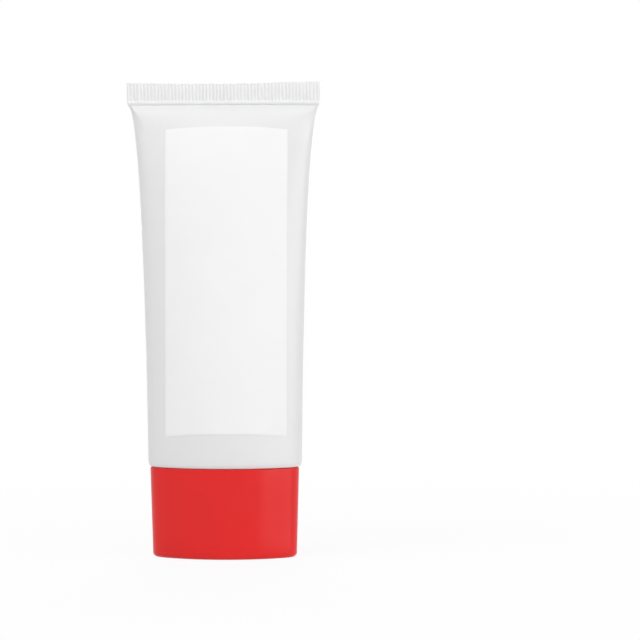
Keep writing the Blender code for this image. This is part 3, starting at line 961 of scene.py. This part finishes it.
def support_rib(size, side, row):
    """One upright rib of the outer cap, whose outer end follows the middle of the wall."""
    cap = size.cap
    end = cap_section(size, cap.floor, cap.wall)[0]
    middle = row * cap.support_spacing / 2
    half = cap.support_thickness / 2
    rib = block(
        "support_rib", (side * (end - cap.support_reach), side * end), (middle - half, middle + half),
        (cap.floor - cap.support_root, socket_high.z - cap.flange - FIT_GAP),
    )
    for vertex in rib.data.vertices:
        if abs(vertex.co.x) > end - cap.support_reach / 2:
            half_width, _, turn = cap_section(size, vertex.co.z, cap.wall / 2)
            turned = math.sqrt(turn ** 2 - vertex.co.y ** 2)
            vertex.co.x = side * (half_width - turn + turned)
    return rib


class TUBE_OT_build_outer_cap(bpy.types.Operator):
    """Build the outer cap with its rounded base and rim and its support ribs"""
    bl_idname = "squeeze_tube.build_outer_cap"
    bl_label = "Build Outer Cap"

    def execute(self, context):
        size = context.scene.squeeze_tube
        cap = size.cap
        rim = FOOT_Z - cap.rim_gap
        side_top = rim - cap.rim_round
        fillet = 0.0006
        gate = 0.0008  # radius of the gate mark in the base
        gate_depth = 0.0002
        rings = []
        # The second flat ring and the one by the round keep the base's shading flat
        for spread, height in ((1.0, gate_depth), (1.3, 0.0), (1.6, 0.0)):
            reach = spread * gate
            rings.append(oval_ring((reach, reach * 0.999, reach * 0.99), height))
        spots = [(1.3 * cap.base_round, 0.0)]
        spots += arc((cap.base_round, 0.0), (0.0, cap.base_round))
        for step in range(1, 9):
            spots.append((0.0, cap.base_round + (side_top - cap.base_round) * step / 8))
        spots += arc((0.0, side_top), (cap.rim_round, rim), 4, upright=True)[1:]
        spots += arc((cap.wall - cap.rim_round, rim), (cap.wall, side_top), 3)
        spots += arc((cap.wall, cap.floor + fillet), (cap.wall + fillet, cap.floor), 3, True)
        for distance, height in spots:
            rings.append(oval_ring(cap_section(size, height, distance), height))
        piece = skin("outer_cap", rings)
        unite(piece, [support_rib(size, side, row) for side in (-1, 1) for row in (-1, 1)])
        finish(piece, "cap", "cap_shell", "cap_polypropylene", cap.color, cap.roughness)
        return {"FINISHED"}


class TUBE_OT_build_inner_cap(bpy.types.Operator):
    """Build the inner cap: a flange with a threaded socket and two webs"""
    bl_idname = "squeeze_tube.build_inner_cap"
    bl_label = "Build Inner Cap"

    def execute(self, context):
        size = context.scene.squeeze_tube
        cap = size.cap
        head = size.head
        top = socket_high.z
        under = top - cap.flange
        floor = wad_low.z - FIT_GAP
        cup = cap.socket_radius + cap.socket_wall
        corner = 0.0005
        soft = 0.0002
        softer = 0.3 * soft
        web_reach = 0.0160
        web_height = 0.0060
        web_half = 0.0006
        outline = cap_section(size, under, cap.wall + FIT_GAP)
        mouth = cap.socket_radius + cap.mouth_flare
        thread_top = top - 2 * cap.mouth_flare
        thread_run = (wad_high.z + SOCKET_LEADS[0], thread_top - SOCKET_LEADS[1])
        rings = round_arc((cup - corner, socket_low.z), (cup, socket_low.z + corner), 4)
        rings += round_arc((cup, under - corner), (cup + corner, under), 4, upright=True)
        rings += [oval_ring(inset(outline, distance), height) for distance, height in (
            (soft, under), (0.0, under + soft), (0.0, top - soft),
            (softer, top - softer), (soft, top),
        )]
        rings += round_rings(
            (mouth + soft, top), (mouth + softer, top - softer), (mouth, top - soft),
            (mouth, top - cap.mouth_flare),
        )
        rings += threaded_rings(
            cap.socket_radius, -head.thread_height, (thread_top, floor + soft), thread_run,
            head.thread_pitch, math.pi,
        )
        rings.append(round_ring(cap.socket_radius - soft, floor))
        piece = skin("inner_cap", rings)
        unite(piece, [block(
            "web", (side * (cup - cap.socket_wall / 2), side * web_reach), (-web_half, web_half),
            (under - web_height, under + cap.flange / 2),
        ) for side in (-1, 1)])
        finish(
            piece, "cap", "cap_inner", "inner_polypropylene", cap.inner_color, 0.36,
        )
        return {"FINISHED"}


class TUBE_OT_build_wad(bpy.types.Operator):
    """Build the sealing wad with the neck's ring pressed into it"""
    bl_idname = "squeeze_tube.build_wad"
    bl_label = "Build Wad"

    def execute(self, context):
        head = context.scene.squeeze_tube.head
        radius = wad_high.x
        low = wad_low.z
        high = wad_high.z
        edge = 0.00025
        pressed = high - 0.00008  # floor of the ring that the neck presses in
        outer_slope = 0.0003  # width of the ring's slopes
        inner_slope = 0.0004
        groove = head.neck_radius - TIP_CHAMFER
        orifice = head.orifice_radius + TIP_CHAMFER / 2
        rings = round_arc((radius - edge, low), (radius, low + edge), 4)
        rings += round_arc((radius, high - edge), (radius - edge, high), 4, upright=True)
        rings += round_rings(
            (groove + outer_slope, high), (groove, pressed), (orifice + inner_slope, pressed),
            (orifice, high),
        )
        piece = skin("sealing_wad", rings)
        finish(piece, "seal", "sealing_disc", "wad_foam", (0.78, 0.78, 0.76), 0.6)
        return {"FINISHED"}


# Stage

# Lamps: name, azimuth and elevation in degrees, distance, width, height, level at the tube
LAMPS = (
    ("right_lamp", 58.5, 5.0, 1.0, 0.95, 0.8, 0.50),
    ("left_lamp", -50.0, 42.0, 1.1, 0.50, 0.5, 0.25),
    ("front_lamp", 0.0, 50.0, 1.1, 0.9, 0.5, 0.24),
    ("top_lamp", 10.0, 80.0, 1.1, 0.9, 0.5, 0.07),
    ("back_lamp", 180.0, 20.0, 1.2, 0.9, 0.9, 0.60),
)
LAMP_AIM = Vector((0.0, 0.0, 0.07))
FLOOR_RADIUS = 2.0
FLOOR_FADE = (0.03, 0.30)  # distances from the axis between which the floor turns whiter
FLOOR_WHITENESS = (0.90, 1.0)
WHITE = (1.0, 1.0, 1.0, 1.0)
CAMERA_PLACE = Vector((0.0623, -0.7, 0.0889))
CAMERA_AIM = Vector((0.02718, 0.0, 0.06711))
CAMERA_ROLL = 0.15  # degrees


def shown_white(tree):
    """1 for what the camera, gloss and glass see, and 0 for the light on the object."""
    path = add_node(tree, "ShaderNodeLightPath")
    total = path.outputs["Is Camera Ray"]
    for name in ("Is Glossy Ray", "Is Transmission Ray"):
        pair = {0: total, 1: path.outputs[name]}
        total = add_node(tree, "ShaderNodeMath", pair, operation="MAXIMUM").outputs["Value"]
    return total


def mix_shaders(tree, factor, first, second):
    inputs = {"Fac": factor, 1: first.outputs[0], 2: second.outputs[0]}
    return add_node(tree, "ShaderNodeMixShader", inputs)


def make_floor(stage):
    """A round pale floor that keeps the tube's shadow and turns plain white far away."""
    shape = bmesh.new()
    bmesh.ops.create_circle(shape, cap_ends=True, segments=96, radius=FLOOR_RADIUS)
    floor = piece_from("floor", shape)
    material = bpy.data.materials.new("floor_white")
    material.use_nodes = True
    tree = material.node_tree
    tree.nodes.clear()
    place = add_node(tree, "ShaderNodeTexCoord").outputs["Object"]
    away = add_node(tree, "ShaderNodeVectorMath", {0: place}, operation="LENGTH")
    fade = ramp(
        tree, away.outputs["Value"], FLOOR_FADE, FLOOR_WHITENESS, interpolation_type="SMOOTHSTEP",
    )
    pair = {0: shown_white(tree), 1: fade}
    share = add_node(tree, "ShaderNodeMath", pair, operation="MULTIPLY").outputs["Value"]
    matt = add_node(tree, "ShaderNodeBsdfDiffuse", {"Color": (*stage.floor_color, 1.0)})
    glow = add_node(tree, "ShaderNodeEmission", {"Color": WHITE, "Strength": 1.0})
    seen = mix_shaders(tree, share, matt, glow)
    mirrored_away = add_node(tree, "ShaderNodeLightPath").outputs["Is Glossy Ray"]
    unseen = add_node(tree, "ShaderNodeBsdfTransparent")
    surface = mix_shaders(tree, mirrored_away, seen, unseen).outputs[0]
    add_node(tree, "ShaderNodeOutputMaterial", {"Surface": surface})
    floor.data.materials.append(material)


def make_world(stage):
    world = bpy.data.worlds.new("studio")
    bpy.context.scene.world = world
    world.use_nodes = True
    tree = world.node_tree
    level = ramp(tree, shown_white(tree), (0.0, 1.0), (stage.world_level, 1.0))
    feed(tree, tree.nodes["Background"], {"Color": WHITE, "Strength": level})


def set_up(name, data, place, toward):
    """Put a lamp or a camera at a place, looking along a direction."""
    item = add_object(name, data)
    item.location = place
    item.rotation_euler = toward.to_track_quat("-Z", "Y").to_euler()
    return item


def make_lamps(stage):
    """Soft area lamps, each as bright as its level on a white surface that faces it."""
    for name, azimuth, elevation, distance, width, height, level in LAMPS:
        turn = math.radians(azimuth)
        rise = math.radians(elevation)
        toward = Vector((
            math.sin(turn) * math.cos(rise), -math.cos(turn) * math.cos(rise), math.sin(rise),
        ))
        light = bpy.data.lights.new(name, "AREA")
        light.shape = "RECTANGLE"
        light.size = width
        light.size_y = height
        light.energy = stage.lamp_level * level * (math.pi * distance) ** 2
        set_up(name, light, LAMP_AIM + distance * toward, -toward)


def make_camera(stage):
    lens = bpy.data.cameras.new("camera")
    lens.lens = stage.lens
    lens.sensor_width = 36.0
    lens.clip_start = 0.01
    camera = set_up("camera", lens, CAMERA_PLACE, CAMERA_AIM - CAMERA_PLACE)
    camera.rotation_euler.rotate_axis("Z", -math.radians(CAMERA_ROLL))
    bpy.context.scene.camera = camera


class TUBE_OT_set_stage(bpy.types.Operator):
    """Set up the floor, the lamps, the white surroundings and the camera"""
    bl_idname = "squeeze_tube.set_stage"
    bl_label = "Set Stage"

    def execute(self, context):
        stage = context.scene.squeeze_tube.stage
        make_floor(stage)
        make_world(stage)
        make_lamps(stage)
        make_camera(stage)
        context.scene.view_settings.view_transform = "Standard"
        return {"FINISHED"}


OPERATORS = (
    TUBE_OT_set_stage, TUBE_OT_build_sleeve, TUBE_OT_build_label, TUBE_OT_build_head,
    TUBE_OT_build_lotion, TUBE_OT_build_outer_cap, TUBE_OT_build_inner_cap, TUBE_OT_build_wad,
)


class TUBE_PT_panel(bpy.types.Panel):
    """Buttons and settings of the squeeze tube"""
    bl_idname = "TUBE_PT_panel"
    bl_label = "Squeeze Tube"
    bl_space_type = "VIEW_3D"
    bl_region_type = "UI"
    bl_category = "Squeeze Tube"

    def draw(self, context):
        size = context.scene.squeeze_tube
        for operator in OPERATORS:
            self.layout.operator(operator.bl_idname)
        for group in (size.sleeve, size.label, size.head, size.cap, size.stage):
            box = self.layout.box()
            for name in group.__annotations__:
                box.prop(group, name)


CLASSES = (
    SleeveSettings, LabelSettings, HeadSettings, CapSettings, StageSettings, TubeSettings,
    *OPERATORS, TUBE_PT_panel,
)


def register():
    for item in CLASSES:
        bpy.utils.register_class(item)
    bpy.types.Scene.squeeze_tube = PointerProperty(type=TubeSettings)


def unregister():
    del bpy.types.Scene.squeeze_tube
    for item in reversed(CLASSES):
        bpy.utils.unregister_class(item)


def main():
    register()
    bpy.ops.squeeze_tube.set_stage()
    bpy.ops.squeeze_tube.build_sleeve()
    bpy.ops.squeeze_tube.build_label()
    bpy.ops.squeeze_tube.build_head()
    bpy.ops.squeeze_tube.build_lotion()
    bpy.ops.squeeze_tube.build_outer_cap()
    bpy.ops.squeeze_tube.build_inner_cap()
    bpy.ops.squeeze_tube.build_wad()


if __name__ == "__main__":
    main()
